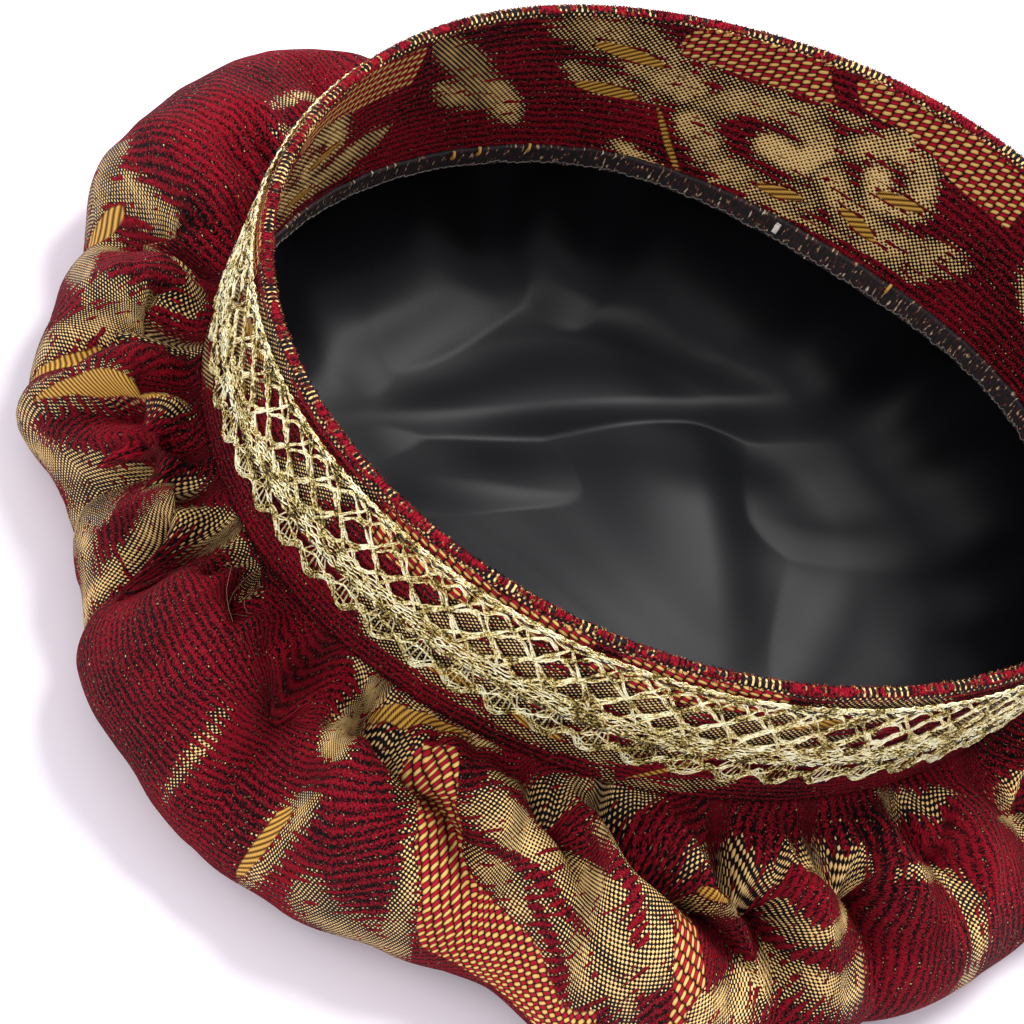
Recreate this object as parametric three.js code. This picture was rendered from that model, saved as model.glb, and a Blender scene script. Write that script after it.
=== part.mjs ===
// A gathered flat cap of figured cloth, lying on its crown with the head opening up.
// Millimetres, +Z up, the long way of the head along X, the origin under the middle on the surface.
import * as THREE from "three";
import { mergeVertices } from "three/addons/utils/BufferGeometryUtils.js";

// The head opening, measured inside the free edge of the band.
const HEAD_LENGTH = 201;
const HEAD_WIDTH = 160;

// The band: two layers of cloth with a stiffener, standing up from the crown.
const BAND_HEIGHT = 48.5;
const BAND_WALL = 3;
const BAND_FLARE = 1; // how much each half axis grows from the seam to the free edge
const BAND_LEAN_X = 4.9; // how far the free edge leans over the seam
const BAND_LEAN_Y = 3.8;
const EDGE_WAVE = 1.6; // rise and fall of the free edge

// The crown: one gathered round of cloth, puffed out below the band and flat underneath.
const CROWN_DIAMETER = 278;
const CROWN_WALL = 2;
const PUFF_HEIGHT = 53; // top of the gathered roll above the surface
const SEAM_HEIGHT = 43; // where band, crown and lining are sewn together
const SEAM_OFFSET_X = -1.4; // middle of the seam from the middle of the crown
const SEAM_OFFSET_Y = -5.6;
const FOLD_DEPTH = 11; // of the deepest fold between two gathers

// The lace: a flat strip sewn round the outside of the band.
const LACE_WIDTH = 35;
const LACE_WALL = 1;
const LACE_GAP = 0.5; // between the lace and the band
const LACE_DROP = 3.2; // bare cloth between the free edge and the lace
const LACE_SCALLOPS = 32;
const SCALLOP_DEPTH = 4.2;

// The lining: a thin bag inside the crown.
const LINING_WALL = 1;
const LINING_BULGE = 7; // how far its side swells out past the seam
const LINING_CREASE = 7.5; // of the highest crease over its floor

const SEWN_GAP = 0.3; // between pieces that are sewn together

// Facets.
const CROWN_COLUMNS = 120;
const BAND_COLUMNS = 96;
const BAND_ROWS = 2;
const LINING_COLUMNS = 56;
const LACE_HOLE_SIDES = 6;

const CLOTH_RED = "#7d1626";
const LACE_GOLD = "#c2a860";
const LINING_BLACK = "#17181b";

const turn = (degrees) => (degrees * Math.PI) / 180;
const mix = (a, b, share) => a + (b - a) * share;
const smooth = (t) => t * t * (3 - 2 * t);
const clamp01 = (t) => Math.min(1, Math.max(0, t));

// Angle from a to b, between -180 and 180 degrees.
const apart = (a, b) => ((((b - a) % 360) + 540) % 360) - 180;

// A value that runs smoothly round the cap through the rows of a table, at angles in degrees.
function around(rows, key, degrees) {
  const here = ((degrees % 360) + 360) % 360;
  let next = rows.findIndex((row) => row.at > here);
  if (next < 0) next = 0;
  const from = rows[(next + rows.length - 1) % rows.length];
  const to = rows[next];
  const span = (to.at - from.at + 360) % 360 || 360;
  const share = ((here - from.at + 360) % 360) / span;
  return mix(from[key], to[key], smooth(share));
}

// Outline of the crown from above, as shares of its half diameter.
const CROWN_OUTLINE = [
  { at: 8, reach: 0.99 },
  { at: 34, reach: 0.965 },
  { at: 58, reach: 1.0 },
  { at: 92, reach: 0.975 },
  { at: 118, reach: 0.99 },
  { at: 150, reach: 0.955 },
  { at: 172, reach: 0.985 },
  { at: 188, reach: 1.02 },
  { at: 207, reach: 0.945 },
  { at: 229, reach: 1.02 },
  { at: 256, reach: 0.975 },
  { at: 286, reach: 1.0 },
  { at: 318, reach: 0.98 },
  { at: 338, reach: 1.005 },
];

// Where the seam is drawn in under the free edge, as shares of the band's height.
const SEAM_DRAWN_IN = [
  { at: 20, inward: 0.04 },
  { at: 68, inward: 0.17 },
  { at: 112, inward: 0.03 },
  { at: 190, inward: 0 },
  { at: 300, inward: 0 },
];

// Rise of the free edge, as shares of EDGE_WAVE.
const EDGE_RISE = [
  { at: 15, rise: 0.2 },
  { at: 50, rise: 1 },
  { at: 100, rise: 0 },
  { at: 135, rise: 0.9 },
  { at: 185, rise: -0.3 },
  { at: 235, rise: 0.5 },
  { at: 290, rise: 0 },
  { at: 322, rise: -1 },
  { at: 340, rise: 0.6 },
];

// Valleys between the gathers: where each lies, how wide it is in degrees, how deep as a share of
// FOLD_DEPTH, how far out it runs as a share of the way to the outline, and how it turns on the way.
const VALLEYS = [
  { at: 3, wide: 5, deep: 0.8, run: 0.9, veer: 3 },
  { at: 16, wide: 4, deep: 0.55, run: 0.7, veer: -2 },
  { at: 29, wide: 6, deep: 0.95, run: 1.05, veer: 2 },
  { at: 44, wide: 4, deep: 0.6, run: 0.75, veer: -3 },
  { at: 57, wide: 4.5, deep: 0.75, run: 0.9, veer: 3 },
  { at: 71, wide: 6, deep: 0.9, run: 1.0, veer: 0 },
  { at: 86, wide: 4, deep: 0.6, run: 0.7, veer: -3 },
  { at: 98, wide: 5, deep: 0.85, run: 0.95, veer: 2 },
  { at: 112, wide: 4, deep: 0.6, run: 0.75, veer: 3 },
  { at: 126, wide: 6, deep: 0.9, run: 1.0, veer: -2 },
  { at: 141, wide: 4, deep: 0.55, run: 0.7, veer: 2 },
  { at: 172, wide: 4, deep: 0.9, run: 0.95, veer: 0 },
  { at: 184, wide: 3.4, deep: 0.85, run: 0.9, veer: 4 },
  { at: 194, wide: 3.2, deep: 0.7, run: 0.8, veer: -1 },
  { at: 205, wide: 4.2, deep: 0.95, run: 1.1, veer: 1 },
  { at: 213.5, wide: 3.4, deep: 0.8, run: 0.8, veer: 5 },
  { at: 235, wide: 5, deep: 1.0, run: 1.0, veer: 2 },
  { at: 251, wide: 4.5, deep: 0.9, run: 0.75, veer: -5 },
  { at: 270, wide: 3.2, deep: 0.35, run: 0.5, veer: 3 },
  { at: 282, wide: 3.2, deep: 0.75, run: 0.6, veer: 2 },
  { at: 291.5, wide: 4, deep: 0.95, run: 0.85, veer: 3 },
  { at: 307, wide: 4.5, deep: 0.95, run: 0.95, veer: -3 },
  { at: 322, wide: 5, deep: 0.75, run: 0.9, veer: 3 },
  { at: 337, wide: 4, deep: 0.6, run: 0.75, veer: -2 },
  { at: 350, wide: 5, deep: 0.9, run: 1.0, veer: 2 },
];

// A valley opens out on its way from the seam to the outline, as shares of its own width, and
// runs out over a stretch on both sides of its end, as a share of the way to the outline.
const VALLEY_OPENS = { seam: 0.8, outline: 1.35 };
const VALLEY_RUNOUT = { past: 0.35, over: 0.5 };

// Section of the crown from the seam to the flat underside: how far out as a share of the way to
// the outline, how high as a share of PUFF_HEIGHT, and how much of a fold it carries.
const CROWN_SECTION = [
  { out: 0.0, high: (SEAM_HEIGHT - SEWN_GAP) / PUFF_HEIGHT, fold: 0 },
  { out: 0.07, high: 0.92, fold: 0.55 },
  { out: 0.2, high: 0.99, fold: 1 },
  { out: 0.4, high: 1.0, fold: 1 },
  { out: 0.62, high: 0.92, fold: 0.9 },
  { out: 0.82, high: 0.78, fold: 0.7 },
  { out: 0.96, high: 0.58, fold: 0.5 },
  { out: 1.0, high: 0.38, fold: 0.35 },
  { out: 0.94, high: 0.17, fold: 0.15 },
  { out: 0.8, high: 0.045, fold: 0.03 },
  { out: 0.62, high: 0, fold: 0 },
];

// Section of the lining below its sewn edge: how far out as a share of LINING_BULGE past the seam,
// how far in as a share of the way to the middle, how high as a share of the way up to the seam,
// and how much of a crease it carries.
const LINING_SECTION = [
  { bulge: 0.55, inner: 0, high: 0.8, crease: 0 },
  { bulge: 1, inner: 0, high: 0.5, crease: 0 },
  { bulge: 0.85, inner: 0, high: 0.22, crease: 0.1 },
  { bulge: 0.2, inner: 0.08, high: 0.06, crease: 0.5 },
  { bulge: 0, inner: 0.3, high: 0.02, crease: 1 },
  { bulge: 0, inner: 0.55, high: 0.02, crease: 1 },
  { bulge: 0, inner: 0.79, high: 0.02, crease: 1 },
];

// Soft creases over the floor of the lining: the middle of each as shares of the head's half
// length and half width, its direction, its length and width as shares of the head's half length,
// and its height as a share of LINING_CREASE.
const CREASES = [
  { x: -0.1, y: -0.08, along: 2, long: 0.75, wide: 0.12, high: 1 },
  { x: -0.42, y: 0.42, along: 60, long: 0.4, wide: 0.13, high: 0.9 },
  { x: 0.42, y: -0.3, along: 38, long: 0.5, wide: 0.16, high: 0.8 },
  { x: -0.2, y: -0.5, along: -14, long: 0.5, wide: 0.16, high: 0.55 },
  { x: 0.3, y: 0.45, along: -20, long: 0.5, wide: 0.15, high: 0.6 },
];

// A point of the oval with these half axes, and its outward direction in the plane.
function oval(halfX, halfY, degrees) {
  const c = Math.cos(turn(degrees));
  const s = Math.sin(turn(degrees));
  const out = new THREE.Vector2(halfY * c, halfX * s).normalize();
  return { at: new THREE.Vector2(halfX * c, halfY * s), out };
}

// The inside of the band at an angle, and at a share of the way up from the seam to the free edge.
function bandInside(degrees, up) {
  const grow = BAND_FLARE * (up - 1);
  const edge = oval(HEAD_LENGTH / 2 + grow, HEAD_WIDTH / 2 + grow, degrees);
  const drawn = around(SEAM_DRAWN_IN, "inward", degrees) * BAND_HEIGHT * (1 - up);
  const at = edge.at
    .clone()
    .addScaledVector(edge.out, -drawn)
    .add(new THREE.Vector2(SEAM_OFFSET_X + BAND_LEAN_X * up, SEAM_OFFSET_Y + BAND_LEAN_Y * up));
  const rise = around(EDGE_RISE, "rise", degrees) * EDGE_WAVE * up;
  return { at, out: edge.out, z: SEAM_HEIGHT + BAND_HEIGHT * up + rise };
}

// A point off the inside of the band, by so much outwards.
function offBand(degrees, up, outwards) {
  const inside = bandInside(degrees, up);
  const at = inside.at.clone().addScaledVector(inside.out, outwards);
  return new THREE.Vector3(at.x, at.y, inside.z);
}

// A closed body from one section for each column. A ring has a closed section; a bowl's section
// starts and ends on the axis.
function sweep(columns, isRing, sectionAt) {
  const sections = Array.from({ length: columns }, (_, i) => sectionAt((360 * i) / columns));
  const rows = sections[0].length;
  const position = sections.flatMap((section) => section.flatMap((p) => [p.x, p.y, p.z]));
  const index = [];
  const last = isRing ? rows : rows - 1;
  for (let i = 0; i < columns; i++) {
    const a = i * rows;
    const b = ((i + 1) % columns) * rows;
    for (let j = 0; j < last; j++) {
      const k = (j + 1) % rows;
      if (isRing || j > 0) index.push(a + j, b + j, b + k);
      if (isRing || j < last - 1) index.push(a + j, b + k, a + k);
    }
  }
  const made = new THREE.BufferGeometry();
  made.setAttribute("position", new THREE.Float32BufferAttribute(position, 3));
  made.setIndex(index);
  return made;
}

function named(name, geometry, colour, roughness, metalness) {
  const closed = mergeVertices(geometry);
  closed.computeVertexNormals();
  const material = new THREE.MeshStandardMaterial({ color: colour, roughness, metalness });
  const mesh = new THREE.Mesh(closed, material);
  mesh.name = name;
  return mesh;
}

function band() {
  const up = Array.from({ length: BAND_ROWS + 1 }, (_, i) => i / BAND_ROWS);
  return sweep(BAND_COLUMNS, true, (degrees) => {
    const outside = up.map((share) => offBand(degrees, share, BAND_WALL));
    const inside = up.map((share) => offBand(degrees, share, 0));
    return [...outside, ...inside.reverse()];
  });
}

// How deep the gathers dip at an angle and a share of the way out.
function dip(degrees, out) {
  let deepest = 0;
  for (const { at, wide, deep, run, veer } of VALLEYS) {
    const width = wide * mix(VALLEY_OPENS.seam, VALLEY_OPENS.outline, clamp01(out));
    const off = apart(at + veer * out, degrees) / width;
    const left = smooth(clamp01((run + VALLEY_RUNOUT.past - out) / VALLEY_RUNOUT.over));
    deepest = Math.max(deepest, deep * Math.exp(-off * off) * left);
  }
  return deepest * FOLD_DEPTH;
}

// The crown at one angle, from the seam to the edge of the flat underside: its outer face, and
// the inner face that lies one wall behind it.
function crownFaces(degrees) {
  const seam = offBand(degrees, 0, BAND_WALL);
  const reach = (around(CROWN_OUTLINE, "reach", degrees) * CROWN_DIAMETER) / 2;
  const away = new THREE.Vector2(reach, 0).rotateAround(new THREE.Vector2(), turn(degrees));
  away.sub(seam);
  const length = away.length();
  away.normalize();
  const placed = (along, z) => new THREE.Vector3(seam.x + away.x * along, seam.y + away.y * along, z);

  const section = CROWN_SECTION.map(({ out, high }) => new THREE.Vector2(out * length, high * PUFF_HEIGHT));
  const outer = [];
  const inner = [];
  CROWN_SECTION.forEach(({ out, fold }, j) => {
    const before = section[Math.max(0, j - 1)];
    const after = section[Math.min(section.length - 1, j + 1)];
    const facing = new THREE.Vector2(before.y - after.y, after.x - before.x).normalize();
    if (j === 0) facing.set(1, 0);
    const face = section[j].clone().addScaledVector(facing, -dip(degrees, out) * fold);
    const back = face.clone().addScaledVector(facing, -CROWN_WALL);
    outer.push(placed(face.x, Math.max(face.y, 0)));
    inner.push(placed(back.x, Math.max(back.y, CROWN_WALL)));
  });
  return { outer, inner };
}

function crown() {
  return sweep(CROWN_COLUMNS, false, (degrees) => {
    const { outer, inner } = crownFaces(degrees);
    const underside = new THREE.Vector3(0, 0, 0);
    const floor = new THREE.Vector3(0, 0, CROWN_WALL);
    return [underside, ...outer.reverse(), ...inner, floor];
  });
}

// Height of the creases over the floor of the lining.
function creaseHeight(x, y) {
  let highest = 0;
  for (const crease of CREASES) {
    const offset = new THREE.Vector2((2 * x) / HEAD_LENGTH - crease.x, (2 * y) / HEAD_WIDTH - crease.y);
    offset.rotateAround(new THREE.Vector2(), -turn(crease.along));
    const bell = Math.exp(-((offset.x / crease.long) ** 2) - (offset.y / crease.wide) ** 2);
    highest = Math.max(highest, crease.high * bell);
  }
  return highest * LINING_CREASE;
}

// The outer face of the lining at one angle, from its sewn edge to the middle of its floor.
function liningFace(degrees) {
  const floor = CROWN_WALL + SEWN_GAP;
  const top = SEAM_HEIGHT - SEWN_GAP;
  const sewn = BAND_WALL - CROWN_WALL - SEWN_GAP; // its edge lies inside the edge of the crown
  const middle = new THREE.Vector2(SEAM_OFFSET_X, SEAM_OFFSET_Y);
  const seam = bandInside(degrees, 0);
  const edge = seam.at.clone().addScaledVector(seam.out, sewn);
  const face = [new THREE.Vector3(edge.x, edge.y, top)];
  for (const { bulge, inner, high, crease } of LINING_SECTION) {
    const at = seam.at.clone().addScaledVector(seam.out, bulge * LINING_BULGE).lerp(middle, inner);
    const z = mix(floor, top, high) + crease * creaseHeight(at.x, at.y);
    face.push(new THREE.Vector3(at.x, at.y, z));
  }
  face.push(new THREE.Vector3(middle.x, middle.y, floor + creaseHeight(middle.x, middle.y)));
  return { face, out: seam.out };
}

function lining() {
  return sweep(LINING_COLUMNS, false, (degrees) => {
    const { face, out } = liningFace(degrees);
    const last = face.length - 1;
    const inside = face.map((p, j) => {
      const run = face[Math.min(last, j + 1)].clone().sub(face[Math.max(0, j - 1)]);
      const facing = new THREE.Vector2(run.z, -(run.x * out.x + run.y * out.y)).normalize();
      if (j === 0) facing.set(-1, 0);
      if (j === last) facing.set(0, 1);
      facing.multiplyScalar(LINING_WALL);
      return new THREE.Vector3(p.x + out.x * facing.x, p.y + out.y * facing.x, p.z + facing.y);
    });
    return [...face.reverse(), ...inside];
  });
}

// One repeat of the lace, laid flat: x runs from 0 to 1 along the strip, y up from the points of
// the scallops. LACE_EDGE holds y as a share of SCALLOP_DEPTH. The holes are those of the net, with
// y and halfY as shares of LACE_WIDTH.
const LACE_EDGE = [
  { x: 0, y: 0.06 },
  { x: 0.14, y: 0 },
  { x: 0.3, y: 0.5 },
  { x: 0.5, y: 0.75 },
  { x: 0.7, y: 0.5 },
  { x: 0.86, y: 0 },
  { x: 1, y: 0.06 },
];
const LACE_HOLES = [
  { x: 0.25, y: 0.74, halfX: 0.15, halfY: 0.06 },
  { x: 0.75, y: 0.74, halfX: 0.15, halfY: 0.06 },
  { x: 0.5, y: 0.56, halfX: 0.17, halfY: 0.075 },
];

function lace() {
  const outline = LACE_EDGE.map(({ x, y }) => new THREE.Vector2(x, (y * SCALLOP_DEPTH) / LACE_WIDTH));
  for (const x of [1, 0.5, 0]) outline.push(new THREE.Vector2(x, 1));
  const holes = LACE_HOLES.map(({ x, y, halfX, halfY }) =>
    Array.from({ length: LACE_HOLE_SIDES }, (_, i) => {
      const a = -turn((360 * i) / LACE_HOLE_SIDES);
      return new THREE.Vector2(x + halfX * Math.cos(a), y + halfY * Math.sin(a));
    }),
  );
  const flat = [outline, ...holes].flat();
  const faces = THREE.ShapeUtils.triangulateShape(outline, holes);
  const position = [];
  const put = (p, repeat, outwards) => {
    const degrees = (360 * (repeat + p.x)) / LACE_SCALLOPS;
    const up = 1 - (LACE_DROP + LACE_WIDTH * (1 - p.y)) / BAND_HEIGHT;
    const at = offBand(degrees, up, BAND_WALL + LACE_GAP + outwards);
    position.push(at.x, at.y, at.z);
  };
  for (let repeat = 0; repeat < LACE_SCALLOPS; repeat++) {
    for (const [a, b, c] of faces) {
      for (const i of [a, b, c]) put(flat[i], repeat, LACE_WALL);
      for (const i of [c, b, a]) put(flat[i], repeat, 0);
    }
    for (const loop of [outline, ...holes]) {
      loop.forEach((p, i) => {
        const q = loop[(i + 1) % loop.length];
        const isJoint = p.x === q.x && (p.x === 0 || p.x === 1);
        if (isJoint) return;
        put(p, repeat, 0);
        put(q, repeat, 0);
        put(q, repeat, LACE_WALL);
        put(p, repeat, 0);
        put(q, repeat, LACE_WALL);
        put(p, repeat, LACE_WALL);
      });
    }
  }
  const made = new THREE.BufferGeometry();
  made.setAttribute("position", new THREE.Float32BufferAttribute(position, 3));
  return mergeVertices(made, 1e-3);
}

const cap = new THREE.Group();
cap.add(
  named("crown", crown(), CLOTH_RED, 0.95, 0),
  named("band", band(), CLOTH_RED, 0.95, 0),
  named("lace_trim", lace(), LACE_GOLD, 0.35, 0.8),
  named("lining", lining(), LINING_BLACK, 0.4, 0),
);

// The cap stands centred over the origin.
const box = new THREE.Box3().setFromObject(cap);
const centre = box.getCenter(new THREE.Vector3());
cap.position.set(-centre.x, -centre.y, -box.min.z);
const part = new THREE.Group();
part.add(cap);

export default part;
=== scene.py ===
import math

import bmesh
import bpy
import numpy as np
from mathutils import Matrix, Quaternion, Vector


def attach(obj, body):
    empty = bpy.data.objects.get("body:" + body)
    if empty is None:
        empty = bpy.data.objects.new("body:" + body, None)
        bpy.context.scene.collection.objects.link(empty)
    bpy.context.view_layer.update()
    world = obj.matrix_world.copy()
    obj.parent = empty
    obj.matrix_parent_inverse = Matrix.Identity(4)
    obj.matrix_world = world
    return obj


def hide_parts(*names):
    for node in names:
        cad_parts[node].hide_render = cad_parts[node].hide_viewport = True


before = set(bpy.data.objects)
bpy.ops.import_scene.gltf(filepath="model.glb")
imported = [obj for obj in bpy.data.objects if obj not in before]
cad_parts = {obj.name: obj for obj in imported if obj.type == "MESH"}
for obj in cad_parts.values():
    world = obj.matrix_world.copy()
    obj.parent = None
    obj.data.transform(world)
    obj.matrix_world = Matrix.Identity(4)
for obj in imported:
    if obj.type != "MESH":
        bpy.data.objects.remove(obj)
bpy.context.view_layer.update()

MM = 0.001

# The view: a person looks down on the cap from the front left, with a long lens, and holds the
# camera turned a little, so that the cap runs out of the right side of the picture.
VIEW_AZIMUTH = math.radians(-12)
VIEW_ELEVATION = math.radians(57.3)
VIEW_DISTANCE = 690 * MM
VIEW_TURN = math.radians(27)
VIEW_TARGET = Vector((-22.2, -2.9, 0)) * MM
LENS_MM = 103.1
SENSOR_MM = 36

camera_data = bpy.data.cameras.new("camera")
camera_data.sensor_width = SENSOR_MM
camera_data.lens = LENS_MM
camera = bpy.data.objects.new("camera", camera_data)
bpy.context.scene.collection.objects.link(camera)
bpy.context.scene.camera = camera
flat_back = math.cos(VIEW_ELEVATION)
back = Vector((math.sin(VIEW_AZIMUTH) * flat_back, -math.cos(VIEW_AZIMUTH) * flat_back,
               math.sin(VIEW_ELEVATION)))
camera.location = VIEW_TARGET + back * VIEW_DISTANCE
camera.rotation_mode = "QUATERNION"
camera.rotation_quaternion = (-back).to_track_quat("-Z", "Y") @ Quaternion((0, 0, 1), VIEW_TURN)

# The table: a smooth matt white sheet of card under soft studio lamps. The main lamp hangs behind
# the cap and to its right, a weaker one fills in from the left.
FLOOR_SIZE = 3.0
FLOOR_WHITE = "#fbf6fc"
KEY_LAMP = {"at": (0.38, 0.55, 1.35), "size": 0.6, "watts": 25}
FILL_LAMP = {"at": (-0.9, -0.55, 1.0), "size": 1.2, "watts": 7}
ROOM_WHITE = "#eceaf2"
ROOM_LIGHT = 0.95


def colour(hex_value):
    """An sRGB hex value as linear red, green, blue and alpha."""
    parts = [int(hex_value[i : i + 2], 16) / 255 for i in (1, 3, 5)]
    return [p / 12.92 if p <= 0.04045 else ((p + 0.055) / 1.055) ** 2.4 for p in parts] + [1.0]


def add(tree, kind, inputs=(), stops=(), **settings):
    """Adds a shader node with its settings and its inputs, by name or in order, and gives its first
    output."""
    made = tree.nodes.new("ShaderNode" + kind)
    for name, value in settings.items():
        setattr(made, name, value)
    for name, value in inputs.items() if isinstance(inputs, dict) else enumerate(inputs):
        if isinstance(value, bpy.types.NodeSocket):
            tree.links.new(value, made.inputs[name])
        else:
            made.inputs[name].default_value = value
    if stops:
        ramp = made.color_ramp.elements
        while len(ramp) < len(stops):
            ramp.new(1.0)
        for element, (place, shade) in zip(ramp, stops):
            element.position = place
            element.color = colour(shade)
    return next(iter(made.outputs), None)


def finish(name):
    """A new material with an empty node tree."""
    material = bpy.data.materials.new(name)
    material.use_nodes = True
    material.node_tree.nodes.clear()
    return material, material.node_tree


def even(name, shade, roughness):
    """A material of one even colour, for what is too plain or too thin to show a pattern."""
    material, tree = finish(name)
    surface = {"Base Color": colour(shade), "Roughness": roughness}
    add(tree, "OutputMaterial", {"Surface": add(tree, "BsdfPrincipled", surface)})
    return material


def table(keys, rows):
    """The rows of a table, each with its values under these keys."""
    return [dict(zip(keys.split(), row)) for row in rows]


def piece(name, bm, material):
    """An object at the origin made of this mesh and material, shaded smooth."""
    mesh = bpy.data.meshes.new(name)
    bm.to_mesh(mesh)
    bm.free()
    mesh.materials.append(material)
    mesh.shade_smooth()
    made = bpy.data.objects.new(name, mesh)
    bpy.context.scene.collection.objects.link(made)
    return made


bm = bmesh.new()
bmesh.ops.create_grid(bm, x_segments=1, y_segments=1, size=FLOOR_SIZE / 2)
floor = piece("floor", bm, even("matt white card", FLOOR_WHITE, 0.8))

for name, lamp in (("key lamp", KEY_LAMP), ("fill lamp", FILL_LAMP)):
    light = bpy.data.lights.new(name, "AREA")
    light.shape = "DISK"
    light.size = lamp["size"]
    light.energy = lamp["watts"]
    hung = bpy.data.objects.new(name, light)
    hung.location = lamp["at"]
    hung.rotation_euler = (-Vector(lamp["at"])).to_track_quat("-Z", "Y").to_euler()
    bpy.context.scene.collection.objects.link(hung)
room = bpy.data.worlds.new("studio room")
room.use_nodes = True
room.node_tree.nodes["Background"].inputs["Color"].default_value = colour(ROOM_WHITE)
room.node_tree.nodes["Background"].inputs["Strength"].default_value = ROOM_LIGHT
bpy.context.scene.world = room
bpy.context.scene.view_settings.view_transform = "Standard"

# The crown: one flat round of figured chenille cloth, gathered along its edge into the band, so
# that it puffs out in folds round the band and lies flat underneath. The cloth is heavy and soft.
# Sizes are in millimetres from here on, and BAND_ROUND turns angles into lengths round the band.
HEAD_LENGTH = 201
HEAD_WIDTH = 160
BAND_HEIGHT = 48.5
BAND_WALL = 3
BAND_FLARE = 1
BAND_ROUND = 92
SEAM_MIDDLE = (-0.1, -4.6)
BAND_LEAN = (4.9, 3.8)
SEAM_HEIGHT = 43
EDGE_WAVE = 1.6
CROWN_REACH = 139
CROWN_MIDDLE = (1.3, 1.0)
PUFF_HEIGHT = 53
FOLD_DEPTH = 18
CUT_REACH = 220
HEM = 1.5
HEM_TUCK = 2
HEM_DROP = 0.3
HEM_SLOPE = 0.8
CROWN_COLUMNS = 720
CROWN_STEP = 0.97
UNDER_ROWS = 12

CROWN_OUTLINE = table("at reach", [
    (8, 0.99), (34, 0.965), (58, 1), (80, 0.965), (100, 0.925), (118, 0.885), (132, 0.893),
    (144, 0.995), (154, 1.032), (163, 1.044), (172, 1.013), (181, 1), (190, 1.035), (199, 0.952),
    (208, 0.946), (217, 1), (226, 0.994), (236, 1.012), (246, 0.977), (256, 0.935), (266, 0.921),
    (276, 0.994), (290, 1), (318, 0.98), (338, 1.005),
])
SEAM_DRAWN_IN = table("at inward", [
    (20, 0.04), (68, 0.17), (112, 0.03), (190, 0), (300, 0),
])
EDGE_RISE = table("at rise", [
    (15, 0.2), (50, 1), (100, 0), (135, 0.9), (185, -0.3), (235, 0.5), (290, 0), (322, -1),
    (340, 0.6),
])

# Section of the crown: run is the cloth's way from the seam in millimetres, out the share of the
# way to the outline, high the share of the puff's height, fold how much of a fold it carries.
CROWN_SECTION = table("run out high fold", [
    (0, 0.0, 0.806, 0),
    (7, 0.07, 0.84, 0.5),
    (14, 0.2, 0.95, 1.05),
    (23, 0.4, 1.0, 1.2),
    (33.5, 0.62, 0.94, 1.1),
    (45, 0.82, 0.79, 0.95),
    (57.5, 0.96, 0.58, 0.6),
    (68.5, 1.0, 0.38, 0.3),
    (80, 0.94, 0.17, 0.13),
    (89, 0.8, 0.045, 0.03),
    (97, 0.62, 0, 0),
])

# Valleys between the gathers: where each starts at the seam, how wide it is in degrees, how deep
# as a share of the deepest, how far out it runs, and how far it turns on the way. Its width grows
# by VALLEY_SPREAD from the seam to the outline, it fades out over VALLEY_FADE, and it is the more
# rounded the higher VALLEY_ROUND is.
VALLEY_SPREAD = (0.75, 1.25)
VALLEY_FADE = 0.5
VALLEY_ROUND = 1.1
VALLEYS = table("at wide deep run veer", [
    (3, 5, 0.8, 0.9, 3),
    (16, 4, 0.55, 0.7, -2),
    (29, 6, 0.95, 1.05, 2),
    (44, 4, 0.6, 0.75, -3),
    (57, 4.5, 0.75, 0.9, 3),
    (71, 6, 0.9, 1.0, 0),
    (86, 4, 0.6, 0.7, -3),
    (98, 5, 0.85, 0.95, 2),
    (112, 4, 0.6, 0.75, 3),
    (126, 6, 0.9, 1.0, -2),
    (141, 4, 0.55, 0.7, 2),
    (172, 3.4, 1.0, 1.0, 0),
    (184, 2.8, 1.05, 1.0, 4),
    (193, 2.4, 0.7, 0.5, 3),
    (203, 2.5, 1.2, 0.95, -10),
    (208.5, 2.5, 1.2, 1.15, -7),
    (215, 2.6, 1.7, 0.95, -1.5),
    (223, 2.2, 0.5, 0.35, 8),
    (235, 5, 1.0, 1.0, 2),
    (243, 3.4, 1.0, 0.8, 20),
    (263, 2.8, 0.7, 0.6, 12),
    (272, 2.8, 1.3, 0.95, 20),
    (286.5, 2.8, 1.5, 1.0, 7),
    (298, 3, 1.3, 1.05, 6),
    (309, 3, 0.8, 0.7, 4),
    (322, 5, 0.75, 0.9, 3),
    (337, 4, 0.6, 0.75, -2),
    (350, 5, 0.9, 1.0, 2),
])

# Small pleats between the valleys, each drawn by chance between these sizes, and the soft ripples
# that lie over all the folds.
SMALL_PLEATS = 84
PLEAT_SEED = 4
PLEAT_FADE = 0.3
PLEAT_ROUND = 1.5
PLEAT = {"shift": (-0.35, 0.35), "wide": (0.8, 1.5), "deep": (0.12, 0.3), "reach": (0.12, 0.42)}
CROWN_RIPPLES = [
    {"high": 0.8, "seed": 11, "waves": 9, "turns": (9, 40), "slant": 0.12},
    {"high": 0.35, "seed": 12, "waves": 9, "turns": (30, 90), "slant": 0.3},
]


def smooth(t):
    """Eases from 0 to 1 as t does, and holds beyond."""
    t = np.clip(t, 0, 1)
    return t * t * (3 - 2 * t)


def around(rows, key, degrees):
    """A value that runs smoothly round the cap through the rows of a table."""
    at = np.array([row["at"] for row in rows], float)
    value = np.array([row[key] for row in rows], float)
    at = np.concatenate([at[-1:] - 360, at, at[:1] + 360])
    value = np.concatenate([value[-1:], value, value[:1]])
    here = degrees % 360
    i = np.clip(np.searchsorted(at, here, side="right") - 1, 0, len(at) - 2)
    share = smooth((here - at[i]) / (at[i + 1] - at[i]))
    return value[i] * (1 - share) + value[i + 1] * share


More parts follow.
